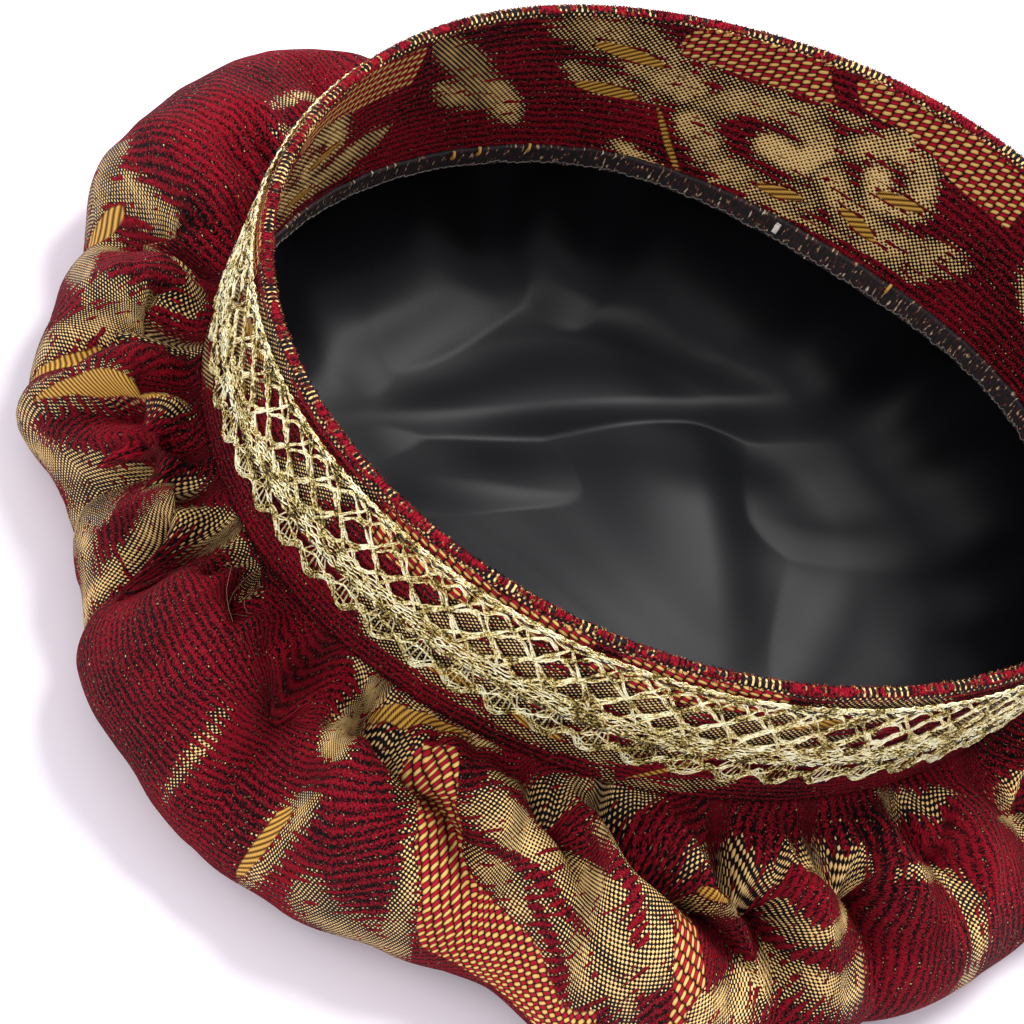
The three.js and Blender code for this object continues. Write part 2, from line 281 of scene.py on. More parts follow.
def along(rows, key, run):
    """A value that runs in a smooth curve along the cloth through the rows of a table."""
    at = np.array([row["run"] for row in rows], float)
    value = np.array([row[key] for row in rows], float)
    slope = np.gradient(value, at)
    i = np.clip(np.searchsorted(at, run, side="right") - 1, 0, len(at) - 2)
    gap = at[i + 1] - at[i]
    t = np.clip((run - at[i]) / gap, 0, 1)
    start = value[i] * (1 + 2 * t) * (1 - t) ** 2 + slope[i] * gap * t * (1 - t) ** 2
    return start + value[i + 1] * t * t * (3 - 2 * t) + slope[i + 1] * gap * t * t * (t - 1)


def off_band(degrees, up, outwards):
    """Points off the inside of the band, at a share of the way up it and so far outwards."""
    turn = np.radians(degrees)
    grow = BAND_FLARE * (up - 1)
    half_x = HEAD_LENGTH / 2 + grow
    half_y = HEAD_WIDTH / 2 + grow
    out = np.stack([half_y * np.cos(turn), half_x * np.sin(turn)], -1)
    out /= np.linalg.norm(out, axis=-1, keepdims=True)
    drawn = around(SEAM_DRAWN_IN, "inward", degrees) * BAND_HEIGHT * (1 - up)
    x = half_x * np.cos(turn) + SEAM_MIDDLE[0] + BAND_LEAN[0] * up
    y = half_y * np.sin(turn) + SEAM_MIDDLE[1] + BAND_LEAN[1] * up
    z = SEAM_HEIGHT + BAND_HEIGHT * up + around(EDGE_RISE, "rise", degrees) * EDGE_WAVE * up
    shift = outwards - drawn
    return np.stack([x + out[..., 0] * shift, y + out[..., 1] * shift, z], -1)


def wrapped(columns, rows):
    """A grid of cloth whose columns go once round, with the angle of each point in degrees and the
    value that its row has in this list."""
    made = bmesh.new()
    bmesh.ops.create_grid(made, x_segments=columns, y_segments=len(rows) - 1, size=0.5)
    share = np.array([v.co[:2] for v in made.verts], float) + 0.5
    row = np.rint(share[:, 1] * (len(rows) - 1)).astype(int)
    return made, share[:, 0] * 360, np.array(rows, float)[row]


def moved(made, places):
    """Puts the points of a bmesh at these places, given in millimetres."""
    for v, place in zip(made.verts, places * MM):
        v.co = place
    bmesh.ops.remove_doubles(made, verts=made.verts, dist=1e-6)
    bmesh.ops.recalc_face_normals(made, faces=made.faces)


def dips(degrees, out):
    """How deep the gathers dip, in millimetres."""
    deepest = np.zeros_like(degrees)
    for row in VALLEYS:
        width = row["wide"] * np.interp(out, (0, 1), VALLEY_SPREAD)
        off = np.abs((degrees - row["at"] - row["veer"] * out + 180) % 360 - 180) / width
        left = smooth((row["run"] - out) / VALLEY_FADE + 0.7)
        deepest = np.maximum(deepest, row["deep"] * np.exp(-(off ** VALLEY_ROUND)) * left)
    pick = np.random.default_rng(PLEAT_SEED)
    small = np.zeros_like(degrees)
    for i in range(SMALL_PLEATS):
        shift, wide, deep, reach = (pick.uniform(*PLEAT[key]) for key in ("shift", "wide", "deep", "reach"))
        off = np.abs((degrees - 360 * (i + shift) / SMALL_PLEATS + 180) % 360 - 180) / wide
        left = smooth((reach - out) / PLEAT_FADE + 0.5)
        small = np.maximum(small, deep * np.exp(-(off ** PLEAT_ROUND)) * left)
    return (deepest + small) * FOLD_DEPTH


def ripples(degrees, along_by, made_of):
    """Soft irregular ripples about so high: so many waves, each with a number of turns round the
    cap between these two and a slant up to this many radians for each millimetre."""
    pick = np.random.default_rng(made_of["seed"])
    slant = made_of["slant"]
    total = np.zeros_like(degrees)
    for _ in range(made_of["waves"]):
        phase = pick.integers(*made_of["turns"]) * np.radians(degrees)
        phase += pick.uniform(-slant, slant) * along_by
        total += np.sin(phase + pick.uniform(0, 2 * math.pi))
    return total * made_of["high"] / math.sqrt(made_of["waves"])


def crown_places(degrees, run):
    """Where the outer face of the gathered crown lies."""
    turn = np.radians(degrees)
    seam = off_band(degrees, np.zeros_like(degrees), BAND_WALL)
    reach = around(CROWN_OUTLINE, "reach", degrees) * CROWN_REACH
    rim = np.stack([np.cos(turn) * reach + CROWN_MIDDLE[0], np.sin(turn) * reach + CROWN_MIDDLE[1]], -1)
    away = rim - seam[:, :2]
    length = np.linalg.norm(away, axis=-1)
    away /= length[:, None]
    last = CROWN_SECTION[-1]["run"]
    held = np.clip(run, 0, last)
    out = along(CROWN_SECTION, "out", held)
    high = along(CROWN_SECTION, "high", held)
    fold = np.clip(along(CROWN_SECTION, "fold", held), 0, None)
    slope_out, slope_up = (along(CROWN_SECTION, key, held + 0.5) - along(CROWN_SECTION, key, held - 0.5)
                           for key in ("out", "high"))
    slope_out *= length
    slope_up *= PUFF_HEIGHT
    size = np.maximum(np.hypot(slope_out, slope_up), 1e-6)
    face_out = -slope_up / size
    face_up = slope_out / size
    depth = dips(degrees, out) * fold
    for row in CROWN_RIPPLES:
        depth += np.clip(fold, 0, 1) * ripples(degrees, run, row)
    lie = out * length - face_out * depth
    z = np.maximum(high * PUFF_HEIGHT - face_up * depth, 0)
    x = seam[:, 0] + away[:, 0] * lie
    y = seam[:, 1] + away[:, 1] * lie
    under = np.clip((run - last) / (CUT_REACH - last), 0, 1)
    x = x * (1 - under) + CROWN_MIDDLE[0] * under
    y = y * (1 - under) + CROWN_MIDDLE[1] * under
    tucked = np.clip(-run, 0, None)
    x -= away[:, 0] * np.minimum(tucked, HEM_TUCK)
    y -= away[:, 1] * np.minimum(tucked, HEM_TUCK)
    z -= np.where(tucked > 0, HEM_DROP + tucked * HEM_SLOPE, 0)
    return np.stack([x, y, z], -1)


puff_end = CROWN_SECTION[-1]["run"]
rows = [*np.arange(-HEM, puff_end, CROWN_STEP), *np.linspace(puff_end, CUT_REACH, UNDER_ROWS)]
bm, at, run = wrapped(CROWN_COLUMNS, rows)
places = crown_places(at, run)

# The cloth is a brocade. Red chenille ribs lie about 2 mm apart over a charcoal and gold weave, and
# stop where a figure shows: leaves and scrolls in a fine check of gold and charcoal, patches of
# long gold floats, and a lattice of red and gold. The figures are charted on squared paper: tenths
# of a degree back from CHART_START, and squares out from the seam by CHART_ROWS. CHART_SQUARE is a
# square's size across and out.
CHART_START = 333
CHART_WIDTH = 1950
CHART_REACH = 122
CHART_SQUARE = (math.radians(0.1) * CHART_REACH, 0.2)
CHART_ROWS = table("square run", [
    (-10, -HEM), (0, 0), (50, 12), (100, 20), (200, 35), (290, 51), (340, 79), (400, 97),
    (1000, CUT_REACH),
])
RIB_PITCH = 2.05
RIB_WAY = math.radians(-42)
PIVOT = 223

# The ribs lie RIB_WAY across the flat round, as seen from PIVOT. Round the puff the cloth shows
# EASE times its own width, and the rest of the round is taken up in the valleys.
OUTLINE_RUN = 68
EASE = 1.15

# A figure's edge is soft over FIGURE_EDGE, and a weave darkens over FIGURE_RIM to RIM_GOLD of its
# gold.
FIGURE_EDGE = 3.2
FIGURE_RIM = 2.2
RIM_GOLD = 0.25


def stem(woven_in, wide, *gold_and_line):
    """A figure of even width: what it is woven in, its half width, how gold it is at its two ends
    if it is a weave, and its middle line on the chart."""
    *gold, line = gold_and_line
    return {"in": woven_in, "wide": wide, "gold": gold[0] if gold else (1, 1), "line": line, "leaf": False}


def leaf(*figure):
    """A figure that narrows to its two ends."""
    return {**stem(*figure), "leaf": True}


FIGURES = [
    leaf("weave", 3, (0.5, 0.6), [(1815, 120), (1870, 150), (1930, 130)]),
    leaf("weave", 1.6, (0.1, 0.1), [(1800, 90), (1850, 75)]),
    stem("weave", 2.6, (0.5, 0.6), [(1690, 290), (1640, 315), (1560, 300), (1500, 265)]),
    stem("weave", 3.4, (0.45, 0.55), [(1655, 290), (1640, 220), (1625, 130), (1600, 60), (1550, 35)]),
    stem("weave", 2.6, (0.35, 0.1), [(1515, 245), (1500, 170), (1510, 80), (1530, 35)]),
    leaf("pile", 3, [(1610, 270), (1570, 200), (1540, 120), (1535, 65)]),
    leaf("floats", 1.3, [(1640, 290), (1610, 320)]),
    stem("weave", 3.2, (0.5, 0.65), [(1465, 325), (1480, 290), (1485, 200), (1490, 90), (1475, 15)]),
    leaf("floats", 1.6, [(1450, 325), (1462, 280), (1455, 200), (1430, 140)]),
    stem("weave", 3.2, (0.35, 0.5), [(1420, 330), (1412, 285), (1395, 195), (1370, 90), (1360, 45)]),
    leaf("floats", 1.9, [(1415, 310), (1400, 220), (1380, 130), (1365, 60)]),
    stem("weave", 2.6, (0.75, 0.8),
         [(1405, 345), (1365, 325), (1325, 300), (1270, 215), (1255, 100), (1260, 25)]),
    leaf("weave", 2.6, (0, 0), [(1345, 330), (1300, 310), (1255, 290)]),
    stem("weave", 2.4, (0.6, 0.7), [(1320, 340), (1260, 312), (1215, 330)]),
    stem("weave", 3.2, (0.8, 0.5),
         [(1208, 335), (1215, 295), (1228, 230), (1225, 120), (1215, 35), (1185, 5)]),
    leaf("weave", 2.6, (0.2, 0.35), [(1175, 10), (1120, 25), (1080, 35)]),
    leaf("weave", 1.7, (0.9, 0.8), [(1012, 225), (1006, 275), (1005, 320)]),
    leaf("weave", 3.4, (0.8, 0.6), [(888, 225), (900, 290), (908, 340)]),
    leaf("floats", 1.3, [(903, 270), (914, 330)]),
    stem("weave", 3.8, (0.8, 0.4),
         [(900, 165), (908, 90), (905, 40), (885, 20), (865, 25), (835, 60), (805, 140), (785, 215),
          (768, 300)]),
    leaf("weave", 1.8, (0, 0.1), [(868, 55), (840, 110), (815, 200)]),
    stem("weave", 3, (0.1, 0.35), [(855, 312), (815, 325), (760, 325)]),
    leaf("weave", 3.6, (0.85, 0.75), [(945, 5), (885, 18), (820, 22), (735, 12)]),
    leaf("floats", 1.8, [(890, 22), (835, 26), (775, 18)]),
    stem("lattice", 5, [(805, 75), (785, 150), (765, 230), (735, 290), (670, 305), (600, 305)]),
    leaf("weave", 4.4, (0.35, 0.25), [(745, 95), (680, 40), (620, 18), (540, 10)]),
    stem("weave", 5.5, (0.4, 0.55), [(715, 235), (660, 258), (600, 275)]),
    stem("weave", 8, (0.7, 0.55), [(728, 145), (695, 160), (640, 180), (595, 195), (545, 235)]),
    leaf("weave", 6, (0.55, 0.4), [(630, 70), (565, 120), (520, 190)]),
    leaf("weave", 3.2, (0.3, 0.7), [(640, 250), (590, 262), (545, 300)]),
    leaf("pile", 2.4, [(700, 60), (640, 75), (590, 70), (550, 55), (510, 80)]),
    leaf("pile", 1.9, [(735, 205), (690, 205), (640, 222)]),
    leaf("pile", 1.8, [(670, 235), (635, 275), (610, 300)]),
    leaf("pile", 1.8, [(605, 110), (572, 160), (562, 225)]),
    stem("lattice", 3.6, [(498, 150), (508, 220), (497, 310)]),
    stem("weave", 2.5, (0.3, 0.8),
         [(510, 95), (480, 50), (450, 35), (435, 60), (440, 120), (460, 170), (485, 170), (492, 145)]),
    leaf("floats", 1.3, [(497, 125), (468, 158)]),
    stem("weave", 3.2, (0.5, 0.8),
         [(415, 85), (395, 60), (345, 40), (315, 65), (318, 140), (335, 205), (375, 225), (392, 205)]),
    leaf("floats", 1.7, [(388, 85), (340, 70), (325, 130), (332, 205)]),
    leaf("weave", 2.6, (0, 0), [(410, 140), (395, 200), (385, 250)]),
    stem("weave", 3.6, (0.75, 0.55), [(485, 290), (430, 292), (380, 285), (325, 290)]),
    stem("weave", 2.3, (0.4, 0.7), [(270, 150), (225, 185), (197, 240), (200, 335)]),
    leaf("weave", 2.4, (0.85, 0.6), [(255, 5), (205, 30), (160, 45)]),
    leaf("weave", 2.4, (0.8, 0.6), [(105, 42), (60, 65)]),
    leaf("weave", 3, (0.5, 0.6), [(130, 120), (95, 200), (60, 290)]),
]


def charted(x, y, figures, square):
    """How much of a figured weave, of floats and of lattice lies at points of a chart, and how
    gold the weave is. Each figure covers the ones before it."""
    shares = {kind: np.zeros_like(x) for kind in ("weave", "floats", "lattice", "gold")}
    for figure in figures:
        line = np.array(figure["line"], float)
        way = np.concatenate([[0], np.cumsum(np.hypot(*np.diff(line, axis=0).T))])
        nearest = np.full_like(x, 1e9)
        place = np.zeros_like(x)
        for i, (a, b) in enumerate(zip(line, line[1:])):
            step = (b - a) * square
            off_x = (x - a[0]) * square[0]
            off_y = (y - a[1]) * square[1]
            t = np.clip((off_x * step[0] + off_y * step[1]) / (step @ step), 0, 1)
            off = np.hypot(off_x - t * step[0], off_y - t * step[1])
            place = np.where(off < nearest, (way[i] + t * (way[i + 1] - way[i])) / way[-1], place)
            nearest = np.minimum(off, nearest)
        width = figure["wide"]
        if figure["leaf"]:
            width = width * np.sqrt(np.clip(4 * place * (1 - place), 0.02, 1))
        cover = smooth((width - nearest) / FIGURE_EDGE + 0.5)
        for kind in ("weave", "floats", "lattice"):
            shares[kind] += ((figure["in"] == kind) - shares[kind]) * cover
        first, last = figure["gold"]
        gold = first * (1 - place) + last * place
        gold *= RIM_GOLD + (1 - RIM_GOLD) * smooth((width - nearest) / FIGURE_RIM - 0.1)
        shares["gold"] += (gold - shares["gold"]) * cover * (figure["in"] != "pile")
    return shares


def figured(made, shares, flat):
    """Gives the points of a bmesh their figures, and its faces the cloth's flat coordinates."""
    woven = made.verts.layers.float_vector.new("figure")
    gold = made.verts.layers.float.new("gold")
    figures = np.stack([shares["weave"], shares["floats"], shares["lattice"]], -1)
    for v, figure, golden in zip(made.verts, figures, shares["gold"]):
        v[woven] = figure
        v[gold] = golden
    made.verts.index_update()
    sheet = made.loops.layers.uv.new("cloth")
    for face in made.faces:
        for loop in face.loops:
            loop[sheet].uv = flat[loop.vert.index]


def gathered_turn(degrees):
    """Share of the gathered cloth that lies in the valleys up to an angle."""
    taken = np.zeros_like(degrees)
    total = sum(row["deep"] * row["wide"] for row in VALLEYS)
    for row in VALLEYS:
        for lap in (-360, 0, 360):
            step = smooth((degrees - row["at"] - lap) / row["wide"] + 0.5) - (lap < 0)
            taken += row["deep"] * row["wide"] * step
    return taken / total


chart_y = np.interp(run, [row["run"] for row in CHART_ROWS], [row["square"] for row in CHART_ROWS])
chart_x = ((CHART_START - at) % 360) * 10
chart_x = np.where(chart_x > CHART_WIDTH, chart_x - CHART_WIDTH, chart_x)
shares = charted(chart_x, chart_y, FIGURES, np.array(CHART_SQUARE))
reach = CUT_REACH - run
ring = np.interp(run, [0, OUTLINE_RUN, CUT_REACH], [BAND_ROUND, CROWN_REACH, CROWN_REACH])
held = np.minimum(1, EASE * ring / np.maximum(reach, 1))
in_valleys = 360 * (gathered_turn(at) - gathered_turn(np.array([float(PIVOT)])))
turned = np.radians(PIVOT + held * (at - PIVOT) + (1 - held) * in_valleys)
flat = np.stack([np.sin(turned - RIB_WAY), np.cos(turned - RIB_WAY)], -1) * reach[:, None] * MM
figured(bm, shares, flat)
moved(bm, places)


def shaken(tree, value, noise, strength):
    """A value moved up and down by a noise, by half this strength each way."""
    centred = add(tree, "Math", [noise, 0.5], operation="SUBTRACT")
    return add(tree, "Math", [centred, strength, value], operation="MULTIPLY_ADD")


# The brocade is dull and soft where its pile shows, and has a faint gloss where it is woven. Its
# patterns lie on the flat cloth, and a noise's scale is in turns for each millimetre.
RIB_DRIFT = 2.6
RIB_SHAKE = 0.9
CHECK_PITCH = 1.25
CHECK_SHAKE = 1.6
FLOAT_THREAD = 0.42
FLOAT_TIE = 1.5
LATTICE_DASH = (2.2, 4.0)
PILE_HIGH = 0.9
WEAVE_HIGH = 0.2
FIGURE_LINE = (0.44, 0.56)

cloth, tree = finish("chenille brocade")
sheet = add(tree, "VectorMath", {0: add(tree, "UVMap", uv_map="cloth"), "Scale": 1000.0}, operation="SCALE")
ways = add(tree, "SeparateXYZ", [sheet]).node.outputs
across, lengthwise = ways[0], ways[1]
figure = add(tree, "Attribute", attribute_name="figure").node.outputs["Vector"]
weave, floats, lattice = add(tree, "SeparateXYZ", [figure]).node.outputs
gold = add(tree, "Attribute", attribute_name="gold").node.outputs["Fac"]

# Red pile: rounded ribs with charcoal between them, fuzzy and uneven. The red is painted brighter towards
# each rib's crest and darker down its flanks, painted light and shade of the rounded ribs over the cloth's
# own red and charcoal.
drift = add(tree, "TexNoise", {"Vector": sheet, "Scale": 0.09, "Detail": 2.0})
wander = add(tree, "Math", [drift, RIB_DRIFT, across], operation="MULTIPLY_ADD")
shake = add(tree, "TexNoise", {"Vector": sheet, "Scale": 0.42, "Detail": 1.0})
wander = add(tree, "Math", [shake, RIB_SHAKE, wander], operation="MULTIPLY_ADD")
rib_turn = add(tree, "Math", [wander, 1 / RIB_PITCH], operation="MULTIPLY")
rib = add(tree, "Math", [add(tree, "Math", [rib_turn, 0.5], operation="PINGPONG"), 2.0], operation="MULTIPLY")
fuzz = add(tree, "TexNoise", {"Vector": sheet, "Scale": 1.0, "Detail": 4.0, "Roughness": 0.8})
closed = add(tree, "TexNoise", {"Vector": sheet, "Scale": 0.035, "Detail": 2.0})
grain = add(tree, "TexNoise", {"Vector": sheet, "Scale": 2.0, "Detail": 1.0})
pile = rib
for noise, strength in ((fuzz, 3.2), (grain, 2.6), (closed, 1.7)):
    pile = shaken(tree, pile, noise, strength)
# The ramp runs from the charcoal between the ribs up to a bright red at each crest. The charcoal is the
# cloth's own; the brightening up each rib is painted light and shade.
pile_red_and_painted_shade = add(tree, "ValToRGB", [pile], stops=[
    (0.0, "#080506"), (0.12, "#1a0b10"), (0.25, "#4a0812"), (0.5, "#84091b"), (1.0, "#c0142d")])
speck = add(tree, "TexNoise", {"Vector": sheet, "Scale": 1.5, "Detail": 1.0})
speck = add(tree, "MapRange", {"Value": speck, "From Min": 0.68, "From Max": 0.73})
gap = add(tree, "MapRange", {"Value": pile, "From Min": 0.6, "From Max": 0.3})
specks = add(tree, "Math", [speck, gap], operation="MULTIPLY")
pile_red_and_painted_shade = add(tree, "MixRGB", {"Fac": specks, "Color1": pile_red_and_painted_shade, "Color2": colour("#d6ad80")})

# Figured weave: a fine check of gold and charcoal, more gold where the chart says. The real check
# is about 1 mm, and is drawn a little coarser so that it shows.
jitter = add(tree, "Math", [shake, CHECK_SHAKE], operation="MULTIPLY")


def waves(tree, along_way, length):
    """Even waves of this length in millimetres, with the cloth's own unevenness."""
    turns = add(tree, "Math", [along_way, 2 * math.pi / length, jitter], operation="MULTIPLY_ADD")
    return add(tree, "Math", [turns], operation="SINE")


check = add(tree, "Math", [waves(tree, across, CHECK_PITCH), waves(tree, lengthwise, CHECK_PITCH)],
            operation="MULTIPLY")
tone_drift = add(tree, "TexNoise", {"Vector": sheet, "Scale": 0.11, "Detail": 2.0})
tone = shaken(tree, gold, tone_drift, 2.1)
shown = add(tree, "Math", [check, 1.05, add(tree, "Math", [tone, 0.6, 0.1], operation="MULTIPLY_ADD")],
            operation="MULTIPLY_ADD")
shown = shaken(tree, shown, fuzz, 0.7)
checked = add(tree, "ValToRGB", [shown], stops=[
    (0.4, "#0e0b10"), (0.52, "#44301f"), (0.62, "#b4884a"), (0.86, "#f2cd88")])

# Floats: long gold threads laid side by side, tied down along slanting lines.
slant = add(tree, "Math", [lengthwise, 0.6, across], operation="MULTIPLY_ADD")
tie, thread = (
    add(tree, "Math", [add(tree, "Math", [way, 1 / pitch], operation="MULTIPLY"), 0.5], operation="PINGPONG")
    for way, pitch in ((slant, FLOAT_TIE), (lengthwise, FLOAT_THREAD)))
laid = add(tree, "Math", [thread, 0.35, tie], operation="MULTIPLY_ADD")
floated = add(tree, "ValToRGB", [laid], stops=[
    (0.1, "#17110b"), (0.24, "#80591f"), (0.42, "#c8943a"), (0.75, "#e8bf68")])

# Lattice: slanting dashes of gold and of red, each with a dark edge.
leaning = add(tree, "Math", [lengthwise, 0.35, across], operation="MULTIPLY_ADD")
dashes = add(tree, "Math", [waves(tree, leaning, LATTICE_DASH[0]), waves(tree, lengthwise, LATTICE_DASH[1])],
             operation="MULTIPLY")
squares = add(tree, "Math", [dashes, 0.5, add(tree, "Math", [fuzz, 0.3, 0.35], operation="MULTIPLY_ADD")],
              operation="MULTIPLY_ADD")
latticed = add(tree, "ValToRGB", [squares], stops=[
    (0.2, "#a81428"), (0.39, "#6b0c19"), (0.45, "#150b0c"),
    (0.54, "#171009"), (0.61, "#a87a34"), (0.85, "#e8be70")])

# The pile ends rib by rib at a figure's edge, so the edge is toothed, and short bars of pile cross
# the weave.
toothed = shaken(tree, shaken(tree, weave, rib, -0.8), shake, 1.2)
streaks = add(tree, "TexNoise", {"Vector": add(tree, "Mapping", {"Vector": sheet, "Scale": (0.4, 0.14, 1)}),
                                 "Scale": 1.0, "Detail": 1.0})
bars = add(tree, "MapRange", {"Value": streaks, "From Min": 0.61, "From Max": 0.66})
toothed = add(tree, "Math", [add(tree, "Math", [bars, rib], operation="MULTIPLY"), -1.1, toothed],
              operation="MULTIPLY_ADD")
is_weave, is_floats, is_lattice = (
    add(tree, "MapRange", {"Value": share, "From Min": FIGURE_LINE[0], "From Max": FIGURE_LINE[1]})
    for share in (toothed, floats, lattice))

# Colour and relief, laid over those of the pile kind by kind. The pile stands well over the rest.
shade = pile_red_and_painted_shade
relief = add(tree, "Math", [pile, PILE_HIGH * MM, WEAVE_HIGH * MM], operation="MULTIPLY_ADD")
for mask, laid_in, height, most in ((is_weave, checked, check, WEAVE_HIGH / 2),
                                    (is_floats, floated, laid, WEAVE_HIGH),
                                    (is_lattice, latticed, squares, WEAVE_HIGH)):
    shade = add(tree, "MixRGB", {"Fac": mask, "Color1": shade, "Color2": laid_in})
    own = add(tree, "Math", [height, most * MM], operation="MULTIPLY")
    gap_to = add(tree, "Math", [own, relief], operation="SUBTRACT")
    relief = add(tree, "Math", [gap_to, mask, relief], operation="MULTIPLY_ADD")
bump = add(tree, "Bump", {"Height": relief, "Strength": 1.0, "Distance": 1.0})
is_gold = add(tree, "Math", [is_weave, is_floats], operation="MAXIMUM")
roughness = add(tree, "Math", [is_gold, -0.35, 0.9], operation="MULTIPLY_ADD")
add(tree, "OutputMaterial", {"Surface": add(tree, "BsdfPrincipled", {
    "Base Color": shade,
    "Roughness": roughness,
    "Normal": bump,
    "Specular IOR Level": 0.12,
})})
crown = piece("crown_cloth", bm, cloth)
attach(crown, "root")
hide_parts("crown")

# The band: a strip of the same cloth folded double over a stiffener, which stands up round the
# head opening.
BAND_COLUMNS = 600
BAND_STEP = 1.2
BAND_TURN_POINTS = 9

# The band's figures, charted in degrees round and millimetres up from the seam. They repeat four times round
# the band. Their gold is doubled on the band's inside, partly its richer gold and partly painted light on the
# side turned from the lamps, and halved on its outside as painted shade under the lace.
BAND_CHART_START = 52
BAND_REPEAT = 90
BAND_SQUARE = (1.6, 1.0)
INSIDE_GOLD_AND_PAINTED_LIGHT = 2.0
OUTSIDE_GOLD_PAINTED_SHADE = 0.5
BAND_FIGURES = [
    leaf("weave", 4, (0.2, 0.5), [(141, 47), (136, 40), (131, 31)]),
    leaf("weave", 4, (0.1, 0.5), [(135, 41), (131, 32), (127, 24)]),
    leaf("weave", 3.4, (0.6, 0.3), [(137, 30), (132, 24), (127, 19)]),
    leaf("weave", 4.4, (0.4, 0.6), [(131, 30), (125, 22), (120, 12)]),
    leaf("weave", 7, (0.2, 0.6), [(123, 45), (110, 40), (96, 24)]),
    leaf("weave", 4, (0.3, 0.3), [(118, 32), (110, 26), (101, 24)]),
    leaf("floats", 1.8, [(115, 39), (104, 34)]),
    leaf("floats", 1.8, [(115, 26), (105, 23)]),
    stem("lattice", 6, [(100, 43), (84, 42)]),
    stem("lattice", 4.4, [(78, 45), (69, 42)]),
    stem("lattice", 6.4, [(65, 42), (54, 40)]),
    leaf("pile", 2.4, [(84, 48), (79, 38)]),
    stem("weave", 2, (0.2, 0.4), [(101, 36), (92, 34), (84, 35), (77, 37)]),
    stem("weave", 4.4, (0.4, 0.7), [(97, 22), (93, 30), (85, 32), (79, 27), (81, 20), (86, 21)]),
    stem("weave", 4.6, (0.6, 0.4), [(97, 20), (92, 12), (84, 9), (78, 12)]),
    leaf("floats", 1.6, [(86, 9), (78, 12)]),
    stem("weave", 4.2, (0.4, 0.7), [(76, 30), (72, 36), (66, 33), (64, 25), (69, 21), (71, 26)]),
    stem("weave", 4.8, (0.5, 0.4), [(76, 20), (71, 14), (64, 13), (56, 18)]),
    leaf("floats", 1.5, [(73, 15), (66, 12)]),
    leaf("floats", 1.5, [(70, 23), (63, 25)]),
    leaf("floats", 0.8, [(103, 24), (98, 11), (92, -2)]),
    leaf("weave", 3, (0.8, 0.9), [(106, 9), (100, 4), (94, 1)]),
    stem("weave", 1.3, (0.9, 0.9), [(93, 0), (88, 10), (80, 6), (68, 9), (58, 9), (53, 20)]),
    stem("weave", 0.7, (0.5, 0.5), [(52, 48.5), (142, 48.5)]),
]
half_wall = BAND_WALL / 2
sides = np.arange(0, BAND_HEIGHT - half_wall, BAND_STEP)
section = [(BAND_WALL, up) for up in sides]
section += [(half_wall + half_wall * math.cos(a), BAND_HEIGHT - half_wall + half_wall * math.sin(a))
            for a in np.linspace(0, math.pi, BAND_TURN_POINTS)]
section += [(0, up) for up in sides[::-1]]
bm, at, row = wrapped(BAND_COLUMNS, range(len(section)))
out, up = np.array(section)[row.astype(int)].T
chart_x = (at - BAND_CHART_START) % BAND_REPEAT + BAND_CHART_START
shares = charted(chart_x, up, BAND_FIGURES, np.array(BAND_SQUARE))
# Painted light and shade: more gold brightens the band's inside, and less gold darkens its outside under the
# lace.
shares["gold"] *= np.where(out < half_wall, INSIDE_GOLD_AND_PAINTED_LIGHT, OUTSIDE_GOLD_PAINTED_SHADE)
flat = np.stack([up, np.radians(at) * BAND_ROUND], -1) * MM
figured(bm, shares, flat)
moved(bm, off_band(at, up / BAND_HEIGHT, out))
band = piece("band_cloth", bm, cloth)
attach(band, "root")
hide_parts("band")

# The free edge: its pile is worn into short tufts of thread, one small blade each. They stand out
# all over the rounded edge, mostly red, some charcoal and gold.
TUFTS = 11000
TUFT_SEED = 31
TUFT_LONG = (0.15, 0.6)
TUFT_WIDE = 0.16
TUFT_SET_IN = 0.1
TUFT_TURN = (math.radians(-10), math.radians(190))
TUFT_LEAN = 0.6
TUFT_ASIDE = 0.7

pick = np.random.default_rng(TUFT_SEED)
at = pick.uniform(0, 360, TUFTS)
turn = pick.uniform(*TUFT_TURN, TUFTS)
tip = half_wall + pick.uniform(*TUFT_LONG, TUFTS)
lean = turn + pick.uniform(-TUFT_LEAN, TUFT_LEAN, TUFTS)
aside = np.degrees(pick.uniform(-TUFT_ASIDE, TUFT_ASIDE, TUFTS) / BAND_ROUND)
root = half_wall - TUFT_SET_IN
foot = np.degrees(TUFT_WIDE / BAND_ROUND)
corners = []
for shift, far, way in ((-foot, root, turn), (foot, root, turn), (aside, tip, lean)):
    degrees = at + shift
    up = BAND_HEIGHT - half_wall + far * np.sin(way)
    corners.append(off_band(degrees, up / BAND_HEIGHT, half_wall + far * np.cos(way)) * MM)
bm = bmesh.new()
for spots in zip(*corners):
    bm.faces.new([bm.verts.new(spot) for spot in spots])

# Worn chenille is dull, and changes colour every 2 mm or so as the ribs below it do.
tufted, tree = finish("chenille tufts")
where = add(tree, "TexCoord").node.outputs["Object"]
bits = add(tree, "TexNoise", {"Vector": where, "Scale": 420.0, "Detail": 1.0})
tufted_red = add(tree, "ValToRGB", [bits], stops=[
    (0.44, "#0f090b"), (0.48, "#3c0811"), (0.53, "#780d1c"),
    (0.57, "#98152a"), (0.59, "#b08945"), (0.63, "#120c0e")])
add(tree, "OutputMaterial", {"Surface": add(tree, "BsdfPrincipled", {
    "Base Color": tufted_red,
    "Roughness": 0.9,
    "Specular IOR Level": 0.15,
})})
tufts = piece("edge_tufts", bm, tufted)
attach(tufts, "root")

